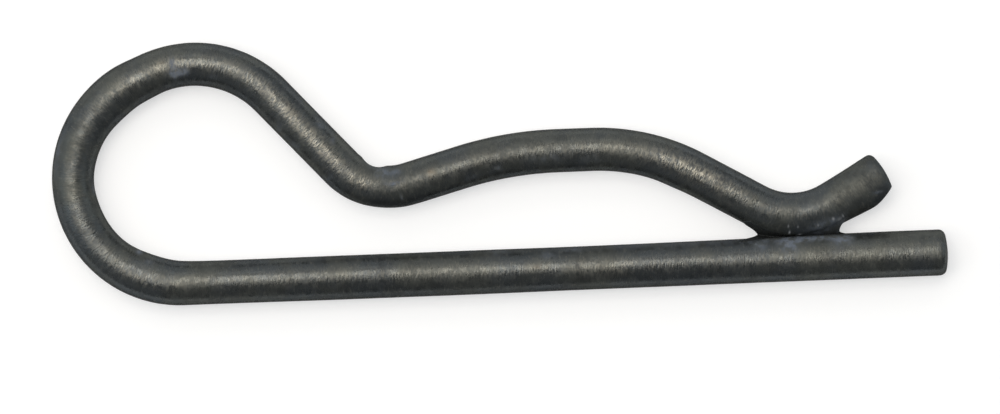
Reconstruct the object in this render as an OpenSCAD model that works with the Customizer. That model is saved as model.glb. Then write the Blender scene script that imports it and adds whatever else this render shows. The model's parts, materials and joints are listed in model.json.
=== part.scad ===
// Spring locking pin: one round spring wire, bent in a plane and lying flat.
// The straight leg goes through a cross hole in a shaft, the bow snaps over the shaft's side,
// and the eye at the back takes a finger or a lanyard to pull the pin out again.
// X runs along the leg to its free end, Y from the leg to the bow, and Z up from the bends' plane.
// The origin is on the leg's axis under the middle of the bow, where the shaft's axis crosses it.
// The part is drawn the way it is made: the wire is fed straight, bent, fed straight, bent and cut.

/* [Wire] */
// Diameter of the spring wire
wire_d = 6.3; // [5:0.1:7]
// Rounding of the rim at the leg's cut end and at the lip's
end_round = 0.7; // [0.3:0.1:1.2]

/* [Shaft seat] */
// Diameter of the shaft that the pin locks
shaft_d = 28; // [26:0.5:34]
// Straight crest of the bow, which bears on the shaft's side
crest_len = 5; // [2:0.5:12]
// Inside radius of the bow behind the crest
bow_rear_r = 50; // [35:1:60]
// Slope of the wire that rises from the neck to the bow
bow_rise = 15.3; // [13.5:0.1:19]
// Inside radius of the bow in front of the crest
bow_front_r = 26.5; // [18:0.5:36]
// Slope of the wire that falls from the bow to the catch
bow_fall = 30; // [24:0.5:38]

/* [Catch and lip] */
// Clear gap between the catch and the leg, as the pin lies free
leg_gap = 0.6; // [0.6:0.1:2.5]
// Radius of the catch's hollow side, where the wire turns up into the lip
catch_r = 10.5; // [5:0.5:16]
// Slope of the lip that rides up over the shaft
lip_tilt = 29.4; // [20:0.1:40]
// Straight length of the lip past the catch
lip_len = 6.3; // [4.5:0.1:14]
// Length of the bevel under the lip's cut end
lip_bevel_len = 3.5; // [2:0.1:4.2]
// Depth of that bevel at the end face
lip_bevel_depth = 1.6; // [0.9:0.1:2.2]

/* [Neck] */
// Clear gap between the neck and the leg
neck_gap = 6.5; // [5:0.1:7.2]
// Radius of the neck's hollow side
neck_r = 6.4; // [3:0.1:9]
// Radius of the mark that the bending tool pressed into the neck's hollow side
neck_mark_r = 2.8; // [1.5:0.1:2.9]
// Depth of that mark
neck_mark_depth = 0.45; // [0.1:0.05:0.8]
// Turn of the neck's bend at which the mark lies, from the shank's end
neck_mark_turn = 26.5; // [15:0.5:45]

/* [Pull eye] */
// Inside radius of both bends of the eye
eye_r = 12.2; // [10:0.1:18]
// Straight stretch between the two bends, across the back of the eye
eye_flat = 2.6; // [0.5:0.1:8]
// Slope of that stretch
eye_flat_tilt = 24; // [10:1:60]
// Slope of the shank that runs down from the eye to the neck
shank_tilt = 47.7; // [40:0.1:60]

/* [Leg] */
// Reach of the leg past the shaft's axis
leg_reach = 53.2; // [35:0.1:80]

/* [Hidden] */
$fn = 96;
wire_r = wire_d / 2;
dark_steel = [0.25, 0.26, 0.25];
// Room that a cutting solid has past what it cuts
cut_room = 1;
// Each straight stretch reaches this far into the bends beside it, so that the wire is one solid
lap = 0.1;
// The bends are thicker than the straights by this hair, which keeps that reach inside them
bend_swell = 0.02;
bend_d = wire_d + bend_swell;

// Radii of the bends, at the wire's axis
eye_axis_r = eye_r + wire_r;
neck_axis_r = neck_r + wire_r;
rear_axis_r = bow_rear_r + wire_r;
front_axis_r = bow_front_r + wire_r;
catch_axis_r = catch_r + wire_r;

// Heights of the wire's axis above the leg's axis
crest_y = shaft_d / 2 + wire_r;
neck_y = wire_d + neck_gap;
catch_y = wire_d + leg_gap;
shank_top_y = eye_axis_r * (1 + cos(shank_tilt)) + eye_flat * sin(eye_flat_tilt);

// Height that a bend takes up between level wire and a slope
function bend_height(axis_r, slope) = axis_r * (1 - cos(slope));

// Straight length at a slope that covers a height, less what the bends at its ends take up
function sloped_len(height, bends_height, slope) = (height - bends_height) / sin(slope);

// Straight stretches between the bends, worked out from the heights that they join
shank_len = sloped_len(shank_top_y - neck_y, bend_height(neck_axis_r, shank_tilt), shank_tilt);
rise_len = sloped_len(crest_y - neck_y, bend_height(rear_axis_r + neck_axis_r, bow_rise), bow_rise);
fall_len = sloped_len(crest_y - catch_y, bend_height(front_axis_r + catch_axis_r, bow_fall), bow_fall);

// Distances back from the shaft's axis to the neck's lowest point and to where the leg runs into the eye
neck_back = crest_len / 2 + (rear_axis_r + neck_axis_r) * sin(bow_rise) + rise_len * cos(bow_rise);
shank_back = (neck_axis_r + eye_axis_r) * sin(shank_tilt) + shank_len * cos(shank_tilt);
eye_back = neck_back + shank_back + eye_flat * cos(eye_flat_tilt);
leg_len = leg_reach + eye_back;

// A straight stretch of wire along X; what follows starts at its end
module straight(len) {
    translate([-lap, 0, 0])
        rotate([0, 90, 0])
            cylinder(d = wire_d, h = len + 2 * lap);
    translate([len, 0, 0])
        children();
}

// What lies at an angle along a bend: to the left for a positive angle, to the right for a negative one
module along_bend(axis_r, angle) {
    side = sign(angle);
    translate([0, side * axis_r, 0])
        rotate([0, 0, angle])
            translate([0, -side * axis_r, 0])
                children();
}

// The wire of a bend by itself
module bend_wire(axis_r, angle) {
    side = sign(angle);
    translate([0, side * axis_r, 0])
        rotate([0, 0, -90 * side])
            rotate_extrude(angle = angle)
                translate([axis_r, 0])
                    circle(d = bend_d);
}

// A bend of the wire; what follows starts at its end, in the wire's new direction
module bend(axis_r, angle) {
    bend_wire(axis_r, angle);
    along_bend(axis_r, angle)
        children();
}

// The neck's bend, with the mark that the bending tool pressed into its hollow side
module neck_bend(angle) {
    difference() {
        bend_wire(neck_axis_r, angle);
        along_bend(neck_axis_r, neck_mark_turn)
            translate([0, wire_r - neck_mark_depth + neck_mark_r, -wire_r - cut_room])
                cylinder(r = neck_mark_r, h = wire_d + 2 * cut_room);
    }
    along_bend(neck_axis_r, angle)
        children();
}

// A straight stretch of wire along X that ends in a cut with a rounded rim
module cut_stretch(len) {
    rotate([0, 90, 0])
        rotate_extrude() {
            translate([0, -lap])
                square([wire_r, len + lap - end_round]);
            square([wire_r - end_round, len]);
            translate([wire_r - end_round, len - end_round])
                intersection() {
                    circle(r = end_round);
                    square(end_round);
                }
        }
}

// What the bevel takes off the lip's end, on the side that meets the shaft first
module bevel_cut() {
    slope = atan(lip_bevel_depth / lip_bevel_len);
    translate([lip_len - lip_bevel_len, -wire_r, 0])
        rotate([0, 0, slope])
            translate([-cut_room, -wire_d, -wire_r - cut_room])
                cube([lip_bevel_len + wire_d, wire_d, wire_d + 2 * cut_room]);
}

// The turned-up end of the wire
module lip() {
    difference() {
        cut_stretch(lip_len);
        bevel_cut();
    }
}

// The leg, from where it leaves the eye to its free end
module leg() {
    translate([-eye_back, 0, 0])
        cut_stretch(leg_len);
}

// The wire from the end of the leg round the eye, over the bow and out to the lip
module bent_wire() {
    translate([-eye_back, 0, 0])
        rotate([0, 0, 180])
            bend(eye_axis_r, eye_flat_tilt - 180)
            straight(eye_flat)
            bend(eye_axis_r, -eye_flat_tilt - shank_tilt)
            straight(shank_len)
            neck_bend(shank_tilt + bow_rise)
            straight(rise_len)
            bend(rear_axis_r, -bow_rise)
            straight(crest_len)
            bend(front_axis_r, -bow_fall)
            straight(fall_len)
            bend(catch_axis_r, bow_fall + lip_tilt)
            lip();
}

module spring_pin() {
    color(dark_steel) {
        leg();
        bent_wire();
    }
}

spring_pin();
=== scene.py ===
"""Dresses the spring locking pin: one bent spring wire, oiled and handled, lying on a pale floor.

The wire is swept again as one fine mesh, so that it can carry what the plain solid lacks: sheared ends,
the swellings and the press mark that bending leaves, the scuffs, stains and specks of use,
and painted shade in the cleft and along the leg's lower side and painted glints by the catch.
Lengths are millimetres unless a name says otherwise. Blender itself works in metres.
A place along the wire is counted from the leg's free end, and a place around it in degrees from the top,
positive to the left of the way along the wire, so that the inside of the eye is at -90.
"""

import json
import logging
import math
from dataclasses import dataclass
from enum import Enum

import bpy
import numpy as np
from mathutils import Matrix, Vector


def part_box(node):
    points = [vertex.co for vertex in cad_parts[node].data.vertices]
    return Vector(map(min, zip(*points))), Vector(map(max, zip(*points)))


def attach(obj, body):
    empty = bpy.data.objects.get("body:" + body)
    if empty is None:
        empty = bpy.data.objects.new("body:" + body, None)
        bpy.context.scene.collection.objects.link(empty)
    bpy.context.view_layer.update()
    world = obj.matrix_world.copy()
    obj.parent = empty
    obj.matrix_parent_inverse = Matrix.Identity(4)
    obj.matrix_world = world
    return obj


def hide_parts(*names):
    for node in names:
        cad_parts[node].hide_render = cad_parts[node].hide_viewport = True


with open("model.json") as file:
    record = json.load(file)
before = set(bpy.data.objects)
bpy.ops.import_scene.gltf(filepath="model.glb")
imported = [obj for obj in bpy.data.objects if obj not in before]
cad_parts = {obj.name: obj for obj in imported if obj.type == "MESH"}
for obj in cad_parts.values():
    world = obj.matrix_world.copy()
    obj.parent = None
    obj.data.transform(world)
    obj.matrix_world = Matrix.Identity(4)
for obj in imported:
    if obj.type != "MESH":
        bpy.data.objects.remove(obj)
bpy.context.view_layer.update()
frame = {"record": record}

MM = 0.001
NODE = "spring_pin"
BODY = "root"
PIECE = "bent_wire"
PLACE_ATTRIBUTE = "wire_place"
# A place counts as on a stretch of the wire with this much slack at the stretch's start and at its end
START_SLACK, END_SLACK = 1e-9, 1e-6

Triple = tuple[float, float, float]
Colour = Triple
Socket = bpy.types.NodeSocket
log = logging.getLogger(NODE)


class MarkKind(Enum):
    """What a mark on the wire is, named as the mesh attribute that holds its strength."""

    SCUFF = "scuff"
    # Real stains, and also the painted shade of the cleft and of the leg's lower side.
    STAIN_AND_SHADE = "stain_and_shade"
    RUST = "rust"
    DULL = "dull"
    # Pale ticks of painted glint, where light catches the surface by the catch.
    PAINTED_GLINT = "painted_glint"
    RUBBED = "rubbed"


class Operation(Enum):
    """What a math node does with two numbers, by Blender's names."""

    ADD = "ADD"
    MULTIPLY = "MULTIPLY"
    MAXIMUM = "MAXIMUM"


@dataclass(frozen=True)
class Mark:
    """A mark on the wire's skin.

    Attributes:
        kind: What it is.
        along: Its middle, in millimetres from the leg's free end.
        around: Its middle, in degrees from the top.
        length: Its half length along the wire.
        width: Its half width around the wire.
        strength: How strong it is at its middle. Its colour is full at 1, and its dullness goes on past that.
        slant: Degrees by which its length is turned away from the wire's.
    """

    kind: MarkKind
    along: float
    around: float
    length: float
    width: float
    strength: float = 1.0
    slant: float = 0.0

    def weight(self, along: np.ndarray, around: np.ndarray, radius: float) -> np.ndarray:
        """Gives the mark's strength at places on the wire.

        Args:
            along: Places along the wire, in millimetres.
            around: Places around it, in degrees.
            radius: The wire's radius.

        Returns:
            Strengths, fading from the middle to the mark's edge.
        """
        forward = along - self.along
        sideways = radius * np.radians((around - self.around + 180.0) % 360.0 - 180.0)
        turn = math.radians(self.slant)
        long_way = (forward * math.cos(turn) + sideways * math.sin(turn)) / self.length
        short_way = (sideways * math.cos(turn) - forward * math.sin(turn)) / self.width
        return self.strength * np.exp(-(long_way**2 + short_way**2))


@dataclass(frozen=True)
class Swell:
    """A stretch where bending or cutting spread the wire, or thinned it where the height is negative.

    Attributes:
        along: Its middle, in millimetres from the leg's free end.
        around: The side that it is on, in degrees from the top.
        height: How far the surface stands out.
        length: Its half length along the wire.
    """

    along: float
    around: float
    height: float
    length: float

    def rise(self, along: np.ndarray, around: np.ndarray) -> np.ndarray:
        """Gives how far the surface stands out at places along and around the wire."""
        facing = np.clip(np.cos(np.radians(around - self.around)), 0.0, None)
        return self.height * np.exp(-(((along - self.along) / self.length) ** 2)) * facing**2


@dataclass(frozen=True)
class CornerCut:
    """A corner of a cut end that is worn to a quarter of an ellipse, or dressed to a bowed bevel.

    Attributes:
        side: 1 where the corner is on the wire's left, -1 where it is on its right.
        length: How far it reaches back from the end face.
        depth: How much it takes off the wire's side at the end face.
        bowed: The power that bows a bevel, which meets the end face at an edge, or 0 for an ellipse.
    """

    side: float
    length: float
    depth: float
    bowed: float = 0.0

    def limit(self, from_end: np.ndarray, radius: np.ndarray) -> np.ndarray:
        """Gives how far to its side the skin may reach.

        Args:
            from_end: Distances from the end face, in millimetres.
            radius: How far the uncut wire reaches to that side.

        Returns:
            The reach that is left, which is the radius itself behind the corner.
        """
        share = np.clip(1.0 - from_end / self.length, 0.0, 1.0)
        taken = share**self.bowed if self.bowed else 1.0 - np.sqrt(1.0 - share**2)
        return radius - self.depth * taken


@dataclass(frozen=True)
class Stretch:
    """One feed or bend of the wire: a straight where the turn is 0, a bend to the left where it is positive.

    Attributes:
        name: What the stretch is called.
        length: Its length at the wire's axis.
        turn: Its turn, in radians.
    """

    name: str
    length: float
    turn: float = 0.0


@dataclass
class WireForm:
    """The pin's bends, in millimetres and degrees, as the wire is fed and bent.

    Radii are those of a bend's hollow side, and heights are measured from the leg.
    """

    wire_d: float
    shaft_d: float
    leg_reach: float
    crest_len: float = 5.0
    bow_rear_r: float = 50.0
    bow_rise: float = 15.3
    bow_front_r: float = 26.5
    bow_fall: float = 30.0
    leg_gap: float = 0.30
    catch_r: float = 8.0
    lip_tilt: float = 28.5
    lip_len: float = 8.6
    neck_gap: float = 6.5
    neck_r: float = 6.4
    eye_r: float = 12.2
    eye_flat: float = 2.6
    eye_flat_tilt: float = 24.0
    shank_tilt: float = 47.7

    @classmethod
    def from_frame(cls) -> "WireForm":
        """Takes the wire, the shaft and the leg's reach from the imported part.

        Returns:
            The form, with the other sizes as they are set above.
        """
        mounts = {mount["name"]: mount for mount in frame["record"]["mounts"]}
        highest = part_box(NODE)[1]
        return cls(
            wire_d=2.0 * mounts["straight_leg"]["dims"]["r_mm"],
            shaft_d=2.0 * mounts["shaft_seat"]["pos_m"][1] / MM,
            leg_reach=highest.x / MM,
        )

    @property
    def wire_r(self) -> float:
        """The wire's radius."""
        return self.wire_d / 2.0

    def bend(self, name: str, hollow_r: float, degrees: float) -> Stretch:
        """Makes a bend from the radius of its hollow side and its turn."""
        turn = math.radians(degrees)
        return Stretch(name, (hollow_r + self.wire_r) * abs(turn), turn)

    def stretches(self) -> list[Stretch]:
        """Works out the feeds and bends in order.

        Returns:
            The stretches from the leg's free end to the lip's.
        """
        radius = self.wire_r
        eye, neck = self.eye_r + radius, self.neck_r + radius
        rear, front, catch = self.bow_rear_r + radius, self.bow_front_r + radius, self.catch_r + radius
        rise, fall = math.radians(self.bow_rise), math.radians(self.bow_fall)
        shank, flat = math.radians(self.shank_tilt), math.radians(self.eye_flat_tilt)
        crest_y = self.shaft_d / 2.0 + radius
        neck_y = self.wire_d + self.neck_gap
        catch_y = self.wire_d + self.leg_gap
        shank_top_y = eye * (1.0 + math.cos(shank)) + self.eye_flat * math.sin(flat)
        shank_len = (shank_top_y - neck_y - neck * (1.0 - math.cos(shank))) / math.sin(shank)
        rise_len = (crest_y - neck_y - (rear + neck) * (1.0 - math.cos(rise))) / math.sin(rise)
        fall_len = (crest_y - catch_y - (front + catch) * (1.0 - math.cos(fall))) / math.sin(fall)
        neck_back = self.crest_len / 2.0 + (rear + neck) * math.sin(rise) + rise_len * math.cos(rise)
        shank_back = (neck + eye) * math.sin(shank) + shank_len * math.cos(shank)
        eye_back = neck_back + shank_back + self.eye_flat * math.cos(flat)
        return [
            Stretch("leg", self.leg_reach + eye_back),
            self.bend("eye_back", self.eye_r, self.eye_flat_tilt - 180.0),
            Stretch("eye_flat", self.eye_flat),
            self.bend("eye_front", self.eye_r, -self.eye_flat_tilt - self.shank_tilt),
            Stretch("shank", shank_len),
            self.bend("neck", self.neck_r, self.shank_tilt + self.bow_rise),
            Stretch("rise", rise_len),
            self.bend("bow_rear", self.bow_rear_r, -self.bow_rise),
            Stretch("crest", self.crest_len),
            self.bend("bow_front", self.bow_front_r, -self.bow_fall),
            Stretch("fall", fall_len),
            self.bend("catch", self.catch_r, self.bow_fall + self.lip_tilt),
            Stretch("lip", self.lip_len),
        ]

    def length(self) -> float:
        """The wire's length at its axis."""
        return sum(stretch.length for stretch in self.stretches())

    def start_of(self, name: str) -> float:
        """Finds where a stretch starts.

        Args:
            name: The stretch's name.

        Returns:
            Its start, in millimetres along the wire.
        """
        start = 0.0
        for stretch in self.stretches():
            if stretch.name == name:
                return start
            start += stretch.length
        raise ValueError(f"the wire has no stretch named {name}")

    def axis(self, along: np.ndarray) -> tuple[np.ndarray, np.ndarray]:
        """Follows the wire's axis.

        Args:
            along: Places along the wire.

        Returns:
            The points of the axis in the bends' plane, and the wire's direction there in radians.
            Past its ends the wire goes straight on.
        """
        wanted, along = along, np.clip(along, 0.0, self.length())
        points = np.zeros((len(along), 2))
        headings = np.zeros(len(along))
        at, point, heading = 0.0, np.array([self.leg_reach, 0.0]), math.pi
        for stretch in self.stretches():
            here = (along >= at - START_SLACK) & (along <= at + stretch.length + END_SLACK)
            gone = np.append(along[here] - at, stretch.length)
            turned = heading + stretch.turn * gone / stretch.length
            if stretch.turn:
                radius = stretch.length / stretch.turn
                across, up = np.sin(turned) - math.sin(heading), math.cos(heading) - np.cos(turned)
                steps = radius * np.stack([across, up], 1)
            else:
                steps = gone[:, None] * np.array([math.cos(heading), math.sin(heading)])
            points[here], headings[here] = point + steps[:-1], turned[:-1]
            at, point, heading = at + stretch.length, point + steps[-1], turned[-1]
        past = (wanted - along)[:, None] * np.stack([np.cos(headings), np.sin(headings)], 1)
        return points + past, headings


@dataclass(frozen=True)
class Texture:
    """A noise on the wire's own places.

    Attributes:
        scale: Its features per millimetre.
        detail: How many finer layers it has.
        rough: How strong those layers are.
        stretch: By how much more it is scaled along the wire, to the left and up, if it isn't even.
    """

    scale: float
    detail: float
    rough: float
    stretch: Triple | None = None


@dataclass(frozen=True)
class Span:
    """A range of a value, and the range that it is spread to smoothly.

    Attributes:
        low: Where the range starts.
        high: Where it ends.
        to_low: What it becomes at and before its start.
        to_high: What it becomes at and past its end.
    """

    low: float
    high: float
    to_low: float = 0.0
    to_high: float = 1.0


class NodeBench:
    """A material's node tree, with short calls for the nodes that the finishes use."""

    # Blender's mix node keeps a socket for each type of value: these are its two colours and its mixed one
    MIX_COLOURS = (6, 7)
    MIXED_COLOUR = 2

    def __init__(self, name: str) -> None:
        """Makes an empty node material of that name."""
        self.material = bpy.data.materials.new(name)
        self.material.use_nodes = True
        self.tree = self.material.node_tree
        self.tree.nodes.clear()

    def node(self, kind: str, inputs: dict[str | int, object], **settings: object) -> bpy.types.Node:
        """Adds a node.

        Args:
            kind: Blender's name for it.
            inputs: What feeds its inputs, by name or number: other nodes' outputs or plain values.
            settings: Its properties.

        Returns:
            The new node.
        """
        made = self.tree.nodes.new(kind)
        for key, value in settings.items():
            setattr(made, key, value)
        for key, value in inputs.items():
            if isinstance(value, Socket):
                self.tree.links.new(value, made.inputs[key])
            else:
                made.inputs[key].default_value = value
        return made

    def attribute(self, name: str) -> bpy.types.Node:
        """Reads an attribute of the mesh."""
        return self.node("ShaderNodeAttribute", {}, attribute_type="GEOMETRY", attribute_name=name)

    def noise(self, place: Socket, texture: Texture) -> Socket:
        """Adds a noise texture.

        Args:
            place: The places that it lies on.
            texture: Its features.

        Returns:
            Its value.
        """
        if texture.stretch:
            mapping = self.node("ShaderNodeMapping", {"Vector": place, "Scale": texture.stretch})
            place = mapping.outputs["Vector"]
        features = {"Scale": texture.scale, "Detail": texture.detail, "Roughness": texture.rough}
        return self.node("ShaderNodeTexNoise", {"Vector": place, **features}).outputs["Fac"]

    def spread(self, value: Socket, span: Span) -> Socket:
        """Maps a value's range smoothly to another range.

        Args:
            value: The value.
            span: Both ranges.

        Returns:
            The mapped value.
        """
        inputs = {"Value": value, "From Min": span.low, "From Max": span.high,
                  "To Min": span.to_low, "To Max": span.to_high}
        return self.node("ShaderNodeMapRange", inputs, interpolation_type="SMOOTHSTEP").outputs["Result"]

    def reckon(self, operation: Operation, first: Socket, second: Socket | float) -> Socket:
        """Works out two numbers with a math node."""
        return self.node("ShaderNodeMath", {0: first, 1: second}, operation=operation.value).outputs["Value"]

    def plus(self, first: Socket, second: Socket | float) -> Socket:
        """Adds two numbers."""
        return self.reckon(Operation.ADD, first, second)

    def times(self, first: Socket, second: Socket | float) -> Socket:
        """Multiplies two numbers."""
        return self.reckon(Operation.MULTIPLY, first, second)

    def larger(self, first: Socket, second: Socket | float) -> Socket:
        """Takes the larger of two numbers."""
        return self.reckon(Operation.MAXIMUM, first, second)

    def blend(self, share: Socket, first: Socket | Colour, second: Colour) -> Socket:
        """Mixes two colours.

        Args:
            share: The share of the second colour, which is held between 0 and 1.
            first: The first colour.
            second: The second colour.

        Returns:
            The mixed colour.
        """
        colours = (colour if isinstance(colour, Socket) else (*colour, 1.0) for colour in (first, second))
        inputs = {"Factor": share, **dict(zip(self.MIX_COLOURS, colours))}
        mix = self.node("ShaderNodeMix", inputs, data_type="RGBA", clamp_factor=True)
        return mix.outputs[self.MIXED_COLOUR]

    def finish(self, surface: Socket) -> bpy.types.Material:
        """Ends the tree with a shader's output and gives the finished material."""
        self.node("ShaderNodeOutputMaterial", {"Surface": surface})
        return self.material


@dataclass(frozen=True)
class SkinNodes:
    """The outputs that the wire's finish is mixed from.

    Attributes:
        combs: The fine crosswise marks of drawing.
        flecks: The flecks that break up the combs and the edges of the marks.
        patches: The large cool and warm patches.
        blotches: The smaller dark blotches.
        grain: The finest grain.
        marks: The strength of each kind of mark.
    """

    combs: Socket
    flecks: Socket
    patches: Socket
    blotches: Socket
    grain: Socket
    marks: dict[MarkKind, Socket]


@dataclass(frozen=True)
class OiledSteel:
    """Dark oiled spring steel: a thin oxide skin with crosswise marks, rubbed to bare metal in fine flecks.

    Colours are linear. Fields that end in rough add up to the roughness, which is never under the least one.
    Those in relief give a texture's share of the bump, and spans pick the part of it that shows.
    """

    name: str = "oiled_spring_steel"
    blue_skin: Colour = (0.072, 0.081, 0.086)
    olive_skin: Colour = (0.089, 0.095, 0.089)
    bare_metal: Colour = (0.21, 0.205, 0.18)
    # The colour of the painted glints by the catch.
    painted_glint_colour: Colour = (0.55, 0.57, 0.60)
    scuff_colour: Colour = (0.125, 0.146, 0.180)
    # Also the colour of painted shade in the cleft and along the leg's lower side.
    stain_and_shade_colour: Colour = (0.028, 0.030, 0.032)
    rust_colour: Colour = (0.15, 0.115, 0.078)
    edge_tint: Colour = (0.18, 0.18, 0.18)
    combs: Texture = Texture(1.0, 2.0, 0.6, (5.0, 1.5, 1.5))
    flecks: Texture = Texture(1.0, 2.0, 0.55, (1.0, 0.8, 0.8))
    patches: Texture = Texture(0.17, 3.0, 0.55)
    blotches: Texture = Texture(0.55, 2.0, 0.5)
    grain: Texture = Texture(7.0, 2.0, 0.6)
    tick_combs: Span = Span(0.52, 0.70)
    tick_flecks: Span = Span(0.36, 0.60)
    ticks_by_stain_and_shade: Span = Span(0.2, 0.9, 0.32, 0.04)
    worn_combs: Span = Span(0.40, 0.62, 0.12, 1.0)
    ragged_edge: Span = Span(0.38, 0.58, 0.20, 1.20)
    warm_patches: Span = Span(0.36, 0.64)
    dark_blotches: Span = Span(0.44, 0.70, 0.0, 0.26)
    stain_and_shade_cover: float = 0.8
    metal_by_bare: Span = Span(0.0, 1.0, 0.75, 1.0)
    metal_by_matt: Span = Span(0.0, 1.0, 1.0, 0.1)
    skin_gloss: float = 0.3
    patch_rough: Span = Span(0.34, 0.66, 0.20, 0.29)
    fleck_rough: Span = Span(0.36, 0.66, -0.06, 0.14)
    comb_rough: Span = Span(0.36, 0.66, -0.01, 0.05)
    dull_rough: float = 0.16
    stain_and_shade_rough: float = 0.10
    scuff_rough: float = 0.25
    least_rough: float = 0.12
    comb_relief: float = 0.95
    fleck_relief: float = 0.3
    grain_relief: float = 0.12
    relief_mm: float = 0.055

    def make(self) -> bpy.types.Material:
        """Builds the material.

        Returns:
            The node material, which reads the wire's own places and marks from the mesh.
        """
        bench = NodeBench(self.name)
        place = bench.attribute(PLACE_ATTRIBUTE).outputs["Vector"]
        textures = (self.combs, self.flecks, self.patches, self.blotches, self.grain)
        marks = {kind: bench.attribute(kind.value).outputs["Fac"] for kind in MarkKind}
        skin = SkinNodes(*(bench.noise(place, texture) for texture in textures), marks)
        bare = self.bare_share(bench, skin)
        matt = bench.larger(skin.marks[MarkKind.PAINTED_GLINT], skin.marks[MarkKind.SCUFF])
        metal = bench.times(bench.spread(bare, self.metal_by_bare), bench.spread(matt, self.metal_by_matt))
        shader = bench.node("ShaderNodeBsdfPrincipled", {
            "Base Color": self.colour(bench, skin, bare),
            "Metallic": metal,
            "Roughness": self.roughness(bench, skin),
            "Normal": self.relief(bench, skin),
            "Specular Tint": (*self.edge_tint, 1.0),
            "Specular IOR Level": self.skin_gloss,
        })
        return bench.finish(shader.outputs["BSDF"])

    def bare_share(self, bench: NodeBench, skin: SkinNodes) -> Socket:
        """Works out where the skin is rubbed to bare metal.

        Args:
            bench: The material's nodes.
            skin: The textures and marks.

        Returns:
            The share of bare metal, from 0 to 1.
        """
        ticks = bench.spread(skin.combs, self.tick_combs)
        ticks = bench.times(ticks, bench.spread(skin.flecks, self.tick_flecks))
        ticks = bench.times(ticks, bench.spread(skin.marks[MarkKind.STAIN_AND_SHADE], self.ticks_by_stain_and_shade))
        worn = bench.times(skin.marks[MarkKind.RUBBED], bench.spread(skin.combs, self.worn_combs))
        return bench.larger(ticks, worn)

    def colour(self, bench: NodeBench, skin: SkinNodes, bare: Socket) -> Socket:
        """Mixes the skin's colour.

        Args:
            bench: The material's nodes.
            skin: The textures and marks.
            bare: The share of bare metal.

        Returns:
            The base colour.
        """
        marks, ragged = skin.marks, bench.spread(skin.flecks, self.ragged_edge)
        mixed = bench.blend(bench.spread(skin.patches, self.warm_patches), self.blue_skin, self.olive_skin)
        mixed = bench.blend(bench.spread(skin.blotches, self.dark_blotches), mixed, self.stain_and_shade_colour)
        # The stain mark darkens real stains and also paints shade in the cleft and on the leg's lower side.
        mixed = bench.blend(bench.times(marks[MarkKind.STAIN_AND_SHADE], self.stain_and_shade_cover), mixed, self.stain_and_shade_colour)
        mixed = bench.blend(bench.times(marks[MarkKind.SCUFF], ragged), mixed, self.scuff_colour)
        mixed = bench.blend(bench.times(marks[MarkKind.RUST], ragged), mixed, self.rust_colour)
        mixed = bench.blend(bare, mixed, self.bare_metal)
        # Pale painted glints laid over everything.
        return bench.blend(marks[MarkKind.PAINTED_GLINT], mixed, self.painted_glint_colour)

    def roughness(self, bench: NodeBench, skin: SkinNodes) -> Socket:
        """Works out the skin's roughness.

        Args:
            bench: The material's nodes.
            skin: The textures and marks.

        Returns:
            The roughness.
        """
        rough = bench.spread(skin.patches, self.patch_rough)
        rough = bench.plus(rough, bench.spread(skin.flecks, self.fleck_rough))
        rough = bench.plus(rough, bench.spread(skin.combs, self.comb_rough))
        rough = bench.plus(rough, bench.times(skin.marks[MarkKind.DULL], self.dull_rough))
        rough = bench.plus(rough, bench.times(skin.marks[MarkKind.STAIN_AND_SHADE], self.stain_and_shade_rough))
        rough = bench.plus(rough, bench.times(skin.marks[MarkKind.SCUFF], self.scuff_rough))
        return bench.larger(rough, self.least_rough)

    def relief(self, bench: NodeBench, skin: SkinNodes) -> Socket:
        """Raises the combs, the flecks and the grain a little.

        Args:
            bench: The material's nodes.
            skin: The textures and marks.

        Returns:
            The bumped normal.
        """
        height = bench.times(skin.combs, self.comb_relief)
        height = bench.plus(height, bench.times(skin.flecks, self.fleck_relief))
        height = bench.plus(height, bench.times(skin.grain, self.grain_relief))
        inputs = {"Strength": 1.0, "Distance": self.relief_mm * MM, "Height": height}
        return bench.node("ShaderNodeBump", inputs).outputs["Normal"]


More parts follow.
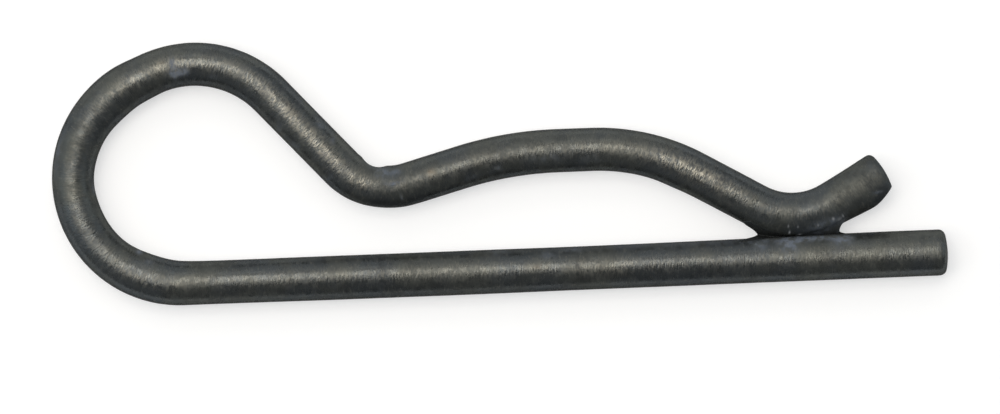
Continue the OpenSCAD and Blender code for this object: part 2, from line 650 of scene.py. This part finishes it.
@dataclass(frozen=True)
class OilFilmAndCleftShade:
    """The oil that fills the cleft where the catch lies against the leg, with a valley along its middle;
    its dark colour towards that valley is painted shade of the cleft.

    Heights in the cleft are measured from the catch at the place where the wires touch.

    Attributes:
        back: Its shortest reach back along the leg from that place.
        back_slope: What it gains for each millimetre above its waist.
        back_curve: What it gains with the square of that height.
        back_foot: What it gains with the square of the depth below its waist.
        front: Its shortest reach forward.
        front_curve: What that gains with the square of the height.
        front_foot: What that gains with the square of the depth.
        waist: The height at which it is shortest.
        merge_start: The height at which its back edge starts to run into the catch's outline.
        merge_length: The height over which it does so.
        merge_width: How far from that outline it starts.
        merge_sunk: How far inside it ends, as a share of that width.
        wall_height: How far it may stand off the bends' plane.
        wall_power: How square its ends are, from 1 for round ones towards 0.
        valley: How far it stands off that plane along its valley.
        leg_depth: How far it goes on into the leg, so that no gap shows.
        catch_depth: How far it goes on into the catch.
        scuffed: How scuffed it is in front, where the catch rubs.
        columns: How many points each of its rings has.
        rings: How many rings it has.
        lean_start: The least distance from the valley at which it may touch a wire.
        lean_end: The largest one.
        lean_steps: How many distances between them are tried.
    """

    back: float = 5.55
    back_slope: float = 0.6
    back_curve: float = 0.45
    back_foot: float = 5.0
    front: float = 6.36
    front_curve: float = 0.42
    front_foot: float = 7.0
    waist: float = 0.45
    merge_start: float = 1.5
    merge_length: float = 0.6
    merge_width: float = 0.3
    merge_sunk: float = 0.5
    wall_height: float = 2.6
    wall_power: float = 0.3
    valley: float = 0.15
    leg_depth: float = 1.2
    catch_depth: float = 2.4
    scuffed: float = 0.4
    columns: int = 144
    rings: int = 73
    lean_start: float = 0.05
    lean_end: float = 3.2
    lean_steps: int = 64

    def shape(self, touch: tuple[float, float], gap: float, catch_r: float,
              wire_r: float) -> tuple[np.ndarray, dict[MarkKind, np.ndarray]]:
        """Lays out the film as rings from the leg to the catch.

        Args:
            touch: The place in the bends' plane where the catch is nearest to the leg.
            gap: The gap there.
            catch_r: The radius of the catch's outer side.
            wire_r: The wire's radius.

        Returns:
            The points by ring and column, and the strength of the marks and painted shade on them.
        """
        lift = np.linspace(-self.leg_depth, self.catch_depth, self.rings)[:, None]
        turn = np.linspace(0.0, 2.0 * math.pi, self.columns, endpoint=False)[None, :]
        back, front = self.ends(lift, gap, catch_r)
        forward = np.where(np.cos(turn) > 0.0, front, back) * np.cos(turn)
        catch = catch_r - np.sqrt(catch_r**2 - forward**2)
        middle = np.where(forward > 0.0, -gap / 2.0, (catch - gap) / 2.0)
        steps = np.linspace(self.lean_start, self.lean_end, self.lean_steps)
        bend_r = np.hypot(forward[..., None], catch_r - middle[..., None] - steps)
        on_catch = self.lean(bend_r - (catch_r - wire_r), wire_r, steps)
        on_leg = self.lean(middle[..., None] - steps + gap + wire_r, wire_r, steps)
        off = lift - middle
        slope, touched = (np.where(off > 0.0, *pair) for pair in zip(on_catch, on_leg))
        share = np.clip(np.abs(off) / touched, 0.0, 1.0)
        wall = self.wall_height * np.abs(np.sin(turn)) ** self.wall_power
        height = np.sign(np.sin(turn)) * np.minimum(self.valley + slope * touched * share, wall)
        points = np.stack([touch[0] + forward, touch[1] + lift * np.ones_like(turn), height], 2)
        # The scuff is full halfway up to the catch and gone where the film meets it
        scuff = np.where((forward > 0.0) & (off > 0.0), self.scuffed * 4.0 * share * (1.0 - share), 0.0)
        # The stain's dark colour, full in the valley and gone where the film meets the wires, is painted
        # shade of the cleft.
        return points, {MarkKind.STAIN_AND_SHADE: 1.0 - share, MarkKind.SCUFF: scuff}

    def ends(self, lift: np.ndarray, gap: float, catch_r: float) -> tuple[np.ndarray, np.ndarray]:
        """Gives how far the film reaches along the leg.

        Args:
            lift: Heights in the cleft.
            gap: The gap between the wires where they touch.
            catch_r: The radius of the catch's outer side.

        Returns:
            Its reach to the back and to the front, at each height.
        """
        above = np.clip(lift - self.waist, 0.0, None)
        below = np.clip(self.waist - np.maximum(lift, -gap), 0.0, None)
        back = self.back + self.back_slope * above + self.back_curve * above**2 + self.back_foot * below**2
        foot = np.minimum(below, self.waist)
        front = self.front + self.front_curve * above**2 + self.front_foot * foot**2
        outline = np.sqrt(catch_r**2 - (catch_r - np.clip(lift, 0.0, None)) ** 2)
        unmerged = np.clip(1.0 - (lift - self.merge_start) / self.merge_length, -self.merge_sunk, 1.0)
        merged = np.minimum(back, outline + self.merge_width * unmerged)
        return np.where(lift > self.merge_start, merged, back), front

    def lean(self, off_axis: np.ndarray, wire_r: float, steps: np.ndarray) -> tuple[np.ndarray, np.ndarray]:
        """Finds the slope from the valley that just touches a wire's skin.

        Args:
            off_axis: Distances from the wire's axis, at steps away from the valley.
            wire_r: The wire's radius.
            steps: Those steps.

        Returns:
            The slope, and the step at which it touches.
        """
        skin = np.sqrt(np.clip(wire_r**2 - off_axis**2, 0.0, None))
        slopes = (skin - self.valley) / steps
        return slopes.max(axis=-1), steps[slopes.argmax(axis=-1)]


@dataclass
class SpringPin:
    """The whole pin: one wire with sheared ends, the traces of its bending, the marks of use and some painted
    shade and glints.

    The mesh has rings round the wire, and a mark shorter than their step gets fine rings of its own, out to
    some times its half length. The neck mark is where the bending tool pressed into the neck's hollow side,
    its turn in degrees. The waver is how far the wire is out of round, which comes and goes over its length
    and turns round the wire over its twist, both for each radian.
    """

    form: WireForm
    finish: OiledSteel
    film: OilFilmAndCleftShade
    ring_step: float = 0.4
    columns: int = 96
    fine_rings: int = 9
    fine_reach: float = 2.0
    end_round: float = 0.7
    end_dome: float = 0.5
    face_rings: int = 7
    rim_rings: int = 7
    leg_corners: tuple[CornerCut, ...] = (CornerCut(1.0, 1.5, 1.3), CornerCut(-1.0, 0.8, 0.9))
    lip_corners: tuple[CornerCut, ...] = (
        CornerCut(1.0, 0.9, 1.5), CornerCut(-1.0, 4.0, 1.40, 1.45), CornerCut(-1.0, 1.0, 4.2))
    neck_mark_r: float = 2.8
    neck_mark_depth: float = 0.45
    neck_mark_turn: float = 26.5
    waver: float = 0.015
    waver_length: float = 5.3
    waver_phase: float = 1.0
    waver_twist: float = 17.0
    touch_steps: int = 400

    def swells(self) -> list[Swell]:
        """Lists where the wire was spread or thinned by bending and cutting.

        Returns:
            The swellings, in order along the wire.
        """
        inside, outside = -90.0, 90.0
        return [
            Swell(4.0, inside, 0.45, 26.0),
            Swell(78.0, outside, 0.12, 34.0),
            Swell(116.0, inside, 0.40, 5.0),
            Swell(135.0, inside, -0.20, 4.0),
            Swell(148.0, inside, 0.36, 4.5),
            Swell(151.5, outside, 0.14, 4.0),
            Swell(196.0, inside, -0.14, 3.0),
            Swell(240.0, inside, 0.14, 2.5),
            Swell(self.form.length(), outside, 0.20, 4.0),
            Swell(self.form.length() - 2.5, inside, 0.53, 6.0),
        ]

    def marks(self) -> list[Mark]:
        """Lists the scuffs, the stains and painted shade, rust specks, dull and rubbed stretches and pale
        painted glints.

        Returns:
            The marks, kind by kind.
        """
        scuff, stain_and_shade, rust = MarkKind.SCUFF, MarkKind.STAIN_AND_SHADE, MarkKind.RUST
        dull, painted_glint, rubbed = MarkKind.DULL, MarkKind.PAINTED_GLINT, MarkKind.RUBBED
        return [
            Mark(scuff, 158.9, -4.0, 0.32, 1.4, 1.20),
            Mark(scuff, 159.7, -20.0, 1.4, 0.55, 1.30),
            Mark(scuff, 158.5, -25.0, 0.5, 0.5, 0.55),
            Mark(scuff, 165.3, -33.0, 0.8, 0.4, 0.35),
            Mark(scuff, 133.3, -70.0, 0.9, 0.5, 0.55),
            Mark(scuff, 118.8, -68.0, 0.5, 0.6, 0.90),
            Mark(scuff, 116.4, -47.0, 0.7, 0.6, 0.35),
            Mark(scuff, 138.4, 55.0, 2.5, 0.7, 0.40),
            Mark(scuff, 182.5, 43.0, 0.5, 0.4, 0.50),
            Mark(scuff, 185.4, 38.0, 0.4, 0.6, 0.50),
            Mark(scuff, 178.4, -50.0, 0.5, 0.8, 0.40),
            Mark(scuff, 182.0, -52.0, 0.6, 0.7, 0.40),
            Mark(scuff, 188.9, -42.0, 0.3, 0.7, 0.40),
            Mark(scuff, 195.5, 40.0, 1.3, 1.0, 0.75),
            Mark(scuff, 197.9, 43.0, 1.0, 0.6, 0.55),
            Mark(scuff, 197.4, 8.0, 1.0, 0.24, 0.90),
            Mark(scuff, 198.2, -30.0, 0.2, 0.5, 0.70),
            Mark(scuff, 212.5, -26.0, 0.9, 0.25, 0.45, 25.0),
            Mark(scuff, 212.7, -29.0, 0.7, 0.25, 0.40, -35.0),
            Mark(scuff, 208.5, -36.0, 0.8, 0.4, 0.35),
            Mark(scuff, 220.0, -18.0, 2.5, 0.7, 0.30),
            Mark(scuff, 226.6, -29.0, 1.6, 0.8, 0.25),
            Mark(scuff, 239.9, -78.0, 1.0, 0.4, 0.40),
            Mark(scuff, 261.8, -48.0, 2.2, 0.9, 0.75),
            Mark(scuff, self.form.length() - 1.9, -38.0, 0.7, 0.2, 0.80, -20.0),
            Mark(scuff, 64.7, -61.0, 1.4, 0.8, 0.35),
            Mark(scuff, 57.7, -41.0, 1.2, 0.8, 0.35),
            Mark(scuff, 53.8, -57.0, 1.6, 0.7, 0.35),
            # A long pale stripe on the leg's upper rim: painted light that brightens the shade there, along
            # with the bluish scuffs of that flank.
            Mark(scuff, 38.0, -66.0, 15.0, 1.0, 0.30),
            Mark(scuff, 20.5, -66.0, 6.5, 0.9, 0.60),
            Mark(scuff, 27.0, -44.0, 0.9, 0.8, 0.85),
            Mark(scuff, 22.5, -44.0, 1.4, 1.0, 1.00),
            Mark(scuff, 21.2, -64.0, 0.35, 0.8, 0.80),
            Mark(scuff, 18.0, -62.0, 2.0, 0.5, 0.50),
            Mark(scuff, 14.8, -50.0, 1.3, 0.9, 0.90),
            Mark(stain_and_shade, 53.4, -5.0, 0.35, 1.6, 0.60),
            Mark(stain_and_shade, 52.5, 30.0, 1.5, 0.8, 0.60),
            Mark(stain_and_shade, 47.1, 22.0, 2.0, 0.6, 0.75),
            # A long dark stripe on the leg's lower side: painted shade on that side, not a stain.
            Mark(stain_and_shade, 62.0, 60.0, 56.0, 1.1, 0.50),
            Mark(stain_and_shade, 197.0, -55.0, 5.0, 1.3, 0.50),
            Mark(stain_and_shade, 211.0, 6.0, 10.0, 1.6, 0.42),
            Mark(stain_and_shade, 36.0, 6.0, 9.0, 1.6, 0.22),
            Mark(stain_and_shade, 50.0, -32.0, 60.0, 0.9, 0.20),
            Mark(stain_and_shade, 165.0, -62.0, 26.0, 1.0, 0.50),
            Mark(stain_and_shade, 226.0, -65.0, 22.0, 0.9, 0.35),
            Mark(stain_and_shade, 196.5, 4.0, 5.0, 1.6, 0.28),
            Mark(stain_and_shade, 90.0, 6.0, 16.0, 1.6, 0.28),
            Mark(stain_and_shade, 43.0, 7.0, 0.6, 0.8, 0.50),
            Mark(stain_and_shade, 81.7, -20.0, 0.4, 2.2, 0.55, 12.0),
            Mark(stain_and_shade, 90.0, -47.0, 0.4, 1.2, 0.45),
            Mark(stain_and_shade, 73.6, 32.0, 2.5, 0.6, 0.40),
            Mark(stain_and_shade, 17.4, -1.0, 1.2, 1.2, 0.50),
            Mark(stain_and_shade, 246.1, 6.0, 0.6, 1.2, 0.75),
            Mark(rust, 157.2, 11.0, 0.5, 0.5, 0.35),
            Mark(rust, 59.0, -4.0, 1.5, 0.5, 0.22),
            Mark(rust, 203.1, 8.0, 0.5, 0.5, 0.60),
            Mark(dull, 50.0, -62.0, 45.0, 1.2, 1.20),
            Mark(dull, 144.8, -5.0, 6.0, 3.0, 0.90),
            Mark(dull, 260.5, -10.0, 6.0, 4.0, 0.80),
            Mark(dull, 136.0, 0.0, 12.0, 6.0, 0.60),
            Mark(dull, 196.5, 0.0, 5.0, 9.0, 0.90),
            Mark(dull, 272.5, 0.0, 8.0, 9.0, 2.20),
            # A band of bare-metal ticks all along the top, where the highlight lies: worn metal and painted
            # sparkle in that highlight.
            Mark(rubbed, 140.0, 0.0, 900.0, 1.2, 0.32),
            Mark(rubbed, 117.0, 8.0, 5.0, 1.6, 0.20),
            Mark(rubbed, 156.0, 8.0, 9.0, 1.6, 0.26),
            Mark(rubbed, 49.5, 5.0, 4.0, 1.6, 0.25),
            Mark(rubbed, 177.0, 2.0, 10.0, 1.4, 0.50),
            Mark(rubbed, 186.0, -2.0, 4.0, 1.4, 0.45),
            Mark(rubbed, 192.3, -1.0, 1.5, 1.0, 0.65),
            Mark(rubbed, 229.0, 8.0, 5.0, 1.6, 0.15),
            Mark(rubbed, 242.0, 6.0, 7.0, 1.6, 0.85),
            # Pale ticks by the catch: painted glints where light catches the surface, not nicks.
            Mark(painted_glint, 257.2, -34.0, 0.10, 0.25, 0.50),
            Mark(painted_glint, 257.4, -58.0, 0.11, 0.45, 0.75),
            Mark(painted_glint, 258.4, -36.0, 0.10, 0.20, 0.45),
            Mark(painted_glint, 258.6, -70.0, 0.22, 0.22, 0.75),
            Mark(painted_glint, 260.9, -42.0, 0.10, 0.20, 0.45),
            Mark(painted_glint, 262.9, -40.0, 0.14, 0.30, 0.60),
            Mark(painted_glint, 263.6, -52.0, 0.30, 0.30, 0.40),
            Mark(painted_glint, 264.2, -47.0, 0.12, 0.30, 0.60),
        ]

    def rings(self) -> tuple[np.ndarray, np.ndarray]:
        """Lays out the rings of the mesh.

        Returns:
            Each ring's place along the wire and its radius, from the leg's cut end to the lip's.
        """
        length, radius, rim = self.form.length(), self.form.wire_r, self.end_round
        face = (radius - rim) * np.linspace(0.0, 1.0, self.face_rings + 1)[1:]
        turn = np.linspace(0.0, math.pi / 2.0, self.rim_rings + 1)[1:]
        end_radii = np.concatenate([face, radius - rim + rim * np.sin(turn)])
        end_places = np.concatenate([np.zeros(self.face_rings), rim * (1.0 - np.cos(turn))])
        end_places = end_places - self.end_dome * (1.0 - (end_radii / radius) ** 2)
        body = np.linspace(rim, length - rim, round((length - 2.0 * rim) / self.ring_step) + 1)[1:-1]
        across = np.linspace(-self.fine_reach, self.fine_reach, self.fine_rings)
        fine = [mark.along + mark.length * across for mark in self.marks() if mark.length < self.ring_step]
        body = np.unique(np.concatenate([body, *fine]).round(3))
        places = np.concatenate([end_places, body, length - end_places[::-1]])
        radii = np.concatenate([end_radii, np.full(len(body), radius), end_radii[::-1]])
        return places, radii

    def skin(self) -> tuple[np.ndarray, np.ndarray, np.ndarray]:
        """Shapes the skin on the straightened wire.

        Returns:
            Places along the wire, offsets to its left and offsets up, each by ring and column.
        """
        places, radii = self.rings()
        around = np.arange(self.columns) * 360.0 / self.columns
        along, turns = np.meshgrid(places, around, indexing="ij")
        full = self.form.wire_r
        share = radii[:, None] / full
        rise = sum(swell.rise(along, turns) for swell in self.swells())
        out_of_round = np.cos(2.0 * np.radians(turns) + along / self.waver_twist)
        rise = rise + self.waver * np.sin(along / self.waver_length + self.waver_phase) * out_of_round
        reach = radii[:, None] + share * rise
        left, up = reach * np.sin(np.radians(turns)), reach * np.cos(np.radians(turns))
        left = np.minimum(left, self.neck_limit(along))
        ends = ((self.leg_corners, along), (self.lip_corners, self.form.length() - along))
        for cuts, from_end in ends:
            for cut in cuts:
                uncut = cut.side * (full + rise) * np.sin(np.radians(turns))
                limit = cut.limit(from_end + self.end_dome, np.max(uncut, axis=1, keepdims=True))
                left = cut.side * np.minimum(cut.side * left, limit)
        return along, left, np.maximum(up, -full)

    def neck_limit(self, along: np.ndarray) -> np.ndarray:
        """Gives how far left the skin may reach beside the mark that the bending tool pressed into the neck.

        Args:
            along: Places along the wire.

        Returns:
            The reach that is left, which is more than the wire has away from the mark.
        """
        axis_r = self.form.neck_r + self.form.wire_r
        turn = (along - self.form.start_of("neck")) / axis_r - math.radians(self.neck_mark_turn)
        centre = self.form.neck_r + self.neck_mark_depth - self.neck_mark_r
        inside = self.neck_mark_r**2 - (centre * np.sin(turn)) ** 2
        reach = centre * np.cos(turn) + np.sqrt(np.clip(inside, 0.0, None))
        touched = (inside > 0.0) & (np.abs(turn) < math.pi / 2.0)
        return np.where(touched, axis_r - reach, self.form.wire_d)

    def build(self) -> bpy.types.Object:
        """Makes the wire's mesh.

        Returns:
            The new object, with the wire's own places and its marks as attributes.
        """
        form, skin = self.form, np.stack(self.skin(), 2)
        middles = np.array([[-self.end_dome, 0.0, 0.0], [form.length() + self.end_dome, 0.0, 0.0]])
        places = np.concatenate([skin.reshape(-1, 3), middles])
        axis, headings = form.axis(places[:, 0])
        points = np.stack([
            axis[:, 0] - places[:, 1] * np.sin(headings),
            axis[:, 1] + places[:, 1] * np.cos(headings),
            places[:, 2],
        ], 1)
        film, film_marks = self.film.shape(
            self.touch(), form.leg_gap, form.catch_r + form.wire_d, form.wire_r)
        film_ends = film[[0, -1]].mean(1)
        film_faces = self.faces(*film.shape[:2], first=len(points))
        film_places = np.concatenate([film.reshape(-1, 3), film_ends])
        mesh = bpy.data.meshes.new(PIECE)
        all_points = np.concatenate([points, film_places])
        mesh.from_pydata((all_points * MM).tolist(), [], self.faces(*skin.shape[:2]) + film_faces)
        mesh.validate()
        for polygon in mesh.polygons:
            polygon.use_smooth = True
        self.write_attributes(mesh, places, film_places, film_marks)
        mesh.update()
        wire = bpy.data.objects.new(PIECE, mesh)
        bpy.context.scene.collection.objects.link(wire)
        return wire

    @staticmethod
    def faces(rings: int, columns: int, first: int = 0) -> list[tuple[int, ...]]:
        """Joins rings into a closed skin.

        Args:
            rings: How many rings there are.
            columns: How many points each ring has. Two middle points follow the last ring.
            first: The number of the first ring's first point.

        Returns:
            The faces, wound so that they look outwards.
        """
        start, end = first + rings * columns, first + rings * columns + 1
        top = first + (rings - 1) * columns
        made: list[tuple[int, ...]] = []
        for column in range(columns):
            after = (column + 1) % columns
            made.append((start, first + column, first + after))
            made.append((end, top + after, top + column))
            for ring in range(rings - 1):
                here, beyond = first + ring * columns, first + (ring + 1) * columns
                made.append((here + column, beyond + column, beyond + after, here + after))
        return made

    def write_attributes(self, mesh: bpy.types.Mesh, places: np.ndarray,
                         film_places: np.ndarray, film_marks: dict[MarkKind, np.ndarray]) -> None:
        """Writes the wire's own places and the strength of its marks to the mesh.

        Args:
            mesh: The wire's mesh.
            places: Each of the wire's vertices on the straightened wire: along, left and up.
            film_places: The places of the vertices of the oil film and its painted shade.
            film_marks: The strength of the marks on the film, without its two end points.
        """
        own = mesh.attributes.new(PLACE_ATTRIBUTE, "FLOAT_VECTOR", "POINT")
        own.data.foreach_set("vector", np.concatenate([places, film_places]).astype(np.float32).ravel())
        around = np.degrees(np.arctan2(places[:, 1], places[:, 2]))
        for kind in MarkKind:
            marks = [mark for mark in self.marks() if mark.kind is kind]
            strength = sum(mark.weight(places[:, 0], around, self.form.wire_r) for mark in marks)
            film_strength = np.zeros(len(film_places))
            if kind in film_marks:
                film_strength[:-2] = film_marks[kind].ravel()
            layer = mesh.attributes.new(kind.value, "FLOAT", "POINT")
            layer.data.foreach_set("value", np.concatenate([strength, film_strength]).astype(np.float32))

    def touch(self) -> tuple[float, float]:
        """Finds where the catch is nearest to the leg.

        Returns:
            That place on the catch's skin, in the bends' plane.
        """
        along = np.linspace(self.form.start_of("catch"), self.form.start_of("lip"), self.touch_steps)
        axis = self.form.axis(along)[0]
        lowest = axis[np.argmin(axis[:, 1])]
        return float(lowest[0]), float(lowest[1]) - self.form.wire_r

    def dress(self, wire: bpy.types.Object) -> None:
        """Gives the wire its finish and its place on the part.

        Args:
            wire: The wire that was built.
        """
        wire.data.materials.append(self.finish.make())
        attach(wire, BODY)
        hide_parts(NODE)


@dataclass(frozen=True)
class Softbox:
    """A panel of soft light above the pin.

    Attributes:
        name: What the lamp is called.
        place: Where it hangs, in metres from the point that it faces.
        size: Its width and depth, in metres.
        glow: How bright its face is, where 1 is white.
        colour: Its colour.
    """

    name: str
    place: Triple
    size: tuple[float, float]
    glow: float
    colour: Colour = (1.0, 1.0, 1.0)

    def hang(self, aim: Vector) -> None:
        """Hangs the lamp so that it faces the pin, with its width level.

        Args:
            aim: The point that it faces, in metres.
        """
        lamp = bpy.data.lights.new(self.name, "AREA")
        lamp.shape = "RECTANGLE"
        lamp.size, lamp.size_y = self.size
        lamp.energy = self.glow * math.pi * self.size[0] * self.size[1]
        lamp.color = self.colour
        hung = bpy.data.objects.new(self.name, lamp)
        hung.location = aim + Vector(self.place)
        away = Vector(self.place).normalized()
        across = (Vector((1.0, 0.0, 0.0)) - away * away.x).normalized()
        hung.rotation_euler = Matrix((across, away.cross(across), away)).transposed().to_euler()
        hung.visible_camera = False
        bpy.context.scene.collection.objects.link(hung)


@dataclass
class Studio:
    """The pale floor, the soft light and the camera that looks straight down.

    The aim is the middle of the view, the camera's turn is in degrees, and a glow of 1 is white.
    """

    floor_m: float
    aim_x: float = -11.06
    aim_y: float = 9.30
    camera_height: float = 900.0
    camera_turn: float = -2.22
    view_width: float = 145.31
    sensor_mm: float = 36.0
    near_clip_m: float = 0.01
    floor_width_m: float = 8.0
    floor_colour: Colour = (0.52, 0.53, 0.543)
    floor_glow: float = 0.55
    room_colour: Colour = (0.90, 0.95, 1.0)
    room_glow: float = 0.17

    @property
    def aim(self) -> Vector:
        """The point in the middle of the view, in metres."""
        return Vector((self.aim_x * MM, self.aim_y * MM, 0.0))

    def softboxes(self) -> list[Softbox]:
        """Lists the lamps.

        Returns:
            The key and the side lamp, which draw the long highlight, and the weaker panels round them.
        """
        warm, plain, cool = (1.0, 0.935, 0.85), (1.0, 1.0, 0.99), (0.88, 0.95, 1.0)
        return [
            Softbox("key_softbox", (-0.10, 0.25, 0.92), (0.52, 0.40), 4.2, warm),
            Softbox("side_softbox", (-0.40, -0.03, 0.91), (0.66, 0.42), 3.0, warm),
            Softbox("upper_panel", (-0.10, 0.64, 0.90), (1.6, 0.66), 0.9, warm),
            Softbox("back_panel", (-0.3, 1.35, 0.64), (2.6, 1.25), 0.62, plain),
            Softbox("left_panel", (-1.3, 0.1, 0.7), (1.0, 1.4), 0.95, cool),
            Softbox("front_panel", (-0.95, -0.95, 0.75), (1.3, 1.2), 0.12, plain),
            Softbox("right_panel", (1.3, 0.4, 0.7), (1.0, 1.4), 0.75, cool),
        ]

    def set_up(self) -> None:
        """Makes the floor, the room's light, the lamps and the camera, and sets the plain view transform."""
        self.lay_floor()
        self.light_room()
        for softbox in self.softboxes():
            softbox.hang(self.aim)
        self.place_camera()
        bpy.context.scene.view_settings.view_transform = "Standard"

    def lay_floor(self) -> None:
        """Lays a pale floor that keeps the pin's shadow."""
        half = self.floor_width_m / 2.0
        mesh = bpy.data.meshes.new("pale_floor")
        square = [(-half, -half), (half, -half), (half, half), (-half, half)]
        mesh.from_pydata([(x, y, self.floor_m) for x, y in square], [], [(0, 1, 2, 3)])
        floor = bpy.data.objects.new("pale_floor", mesh)
        bpy.context.scene.collection.objects.link(floor)
        mesh.materials.append(self.floor_material())

    def floor_material(self) -> bpy.types.Material:
        """Builds a matte white that also glows a little to the eye, so that only the shadow is grey.

        Returns:
            The node material.
        """
        bench = NodeBench("pale_floor")
        matte = bench.node("ShaderNodeBsdfDiffuse", {"Color": (*self.floor_colour, 1.0)})
        rays = bench.node("ShaderNodeLightPath", {})
        seen = bench.larger(rays.outputs["Is Camera Ray"], rays.outputs["Is Glossy Ray"])
        seen = bench.larger(seen, rays.outputs["Is Transmission Ray"])
        glow = bench.node("ShaderNodeEmission", {"Strength": bench.times(seen, self.floor_glow)})
        shaders = {0: matte.outputs["BSDF"], 1: glow.outputs["Emission"]}
        return bench.finish(bench.node("ShaderNodeAddShader", shaders).outputs["Shader"])

    def light_room(self) -> None:
        """Gives the room an even, dim light."""
        world = bpy.data.worlds.new("studio_room")
        world.use_nodes = True
        background = world.node_tree.nodes["Background"]
        background.inputs["Color"].default_value = (*self.room_colour, 1.0)
        background.inputs["Strength"].default_value = self.room_glow
        bpy.context.scene.world = world

    def place_camera(self) -> None:
        """Sets the camera straight above the pin, turned as the photograph is."""
        lens = bpy.data.cameras.new("view")
        lens.sensor_width = self.sensor_mm
        lens.lens = self.sensor_mm * self.camera_height / self.view_width
        lens.clip_start = self.near_clip_m
        camera = bpy.data.objects.new("view", lens)
        camera.location = self.aim + Vector((0.0, 0.0, self.camera_height * MM))
        camera.rotation_euler = (0.0, 0.0, math.radians(self.camera_turn))
        bpy.context.scene.collection.objects.link(camera)
        bpy.context.scene.camera = camera


def main() -> None:
    """Builds the pin and the studio, and logs the wire's vertex count and length."""
    logging.basicConfig(level=logging.INFO, format="%(name)s: %(message)s")
    pin = SpringPin(WireForm.from_frame(), OiledSteel(), OilFilmAndCleftShade())
    wire = pin.build()
    pin.dress(wire)
    log.info("%s: %d vertices, %.1f mm of wire", wire.name, len(wire.data.vertices), pin.form.length())
    Studio(floor_m=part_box(NODE)[0].z).set_up()
    log.info("studio set up")


if __name__ == "__main__":
    main()
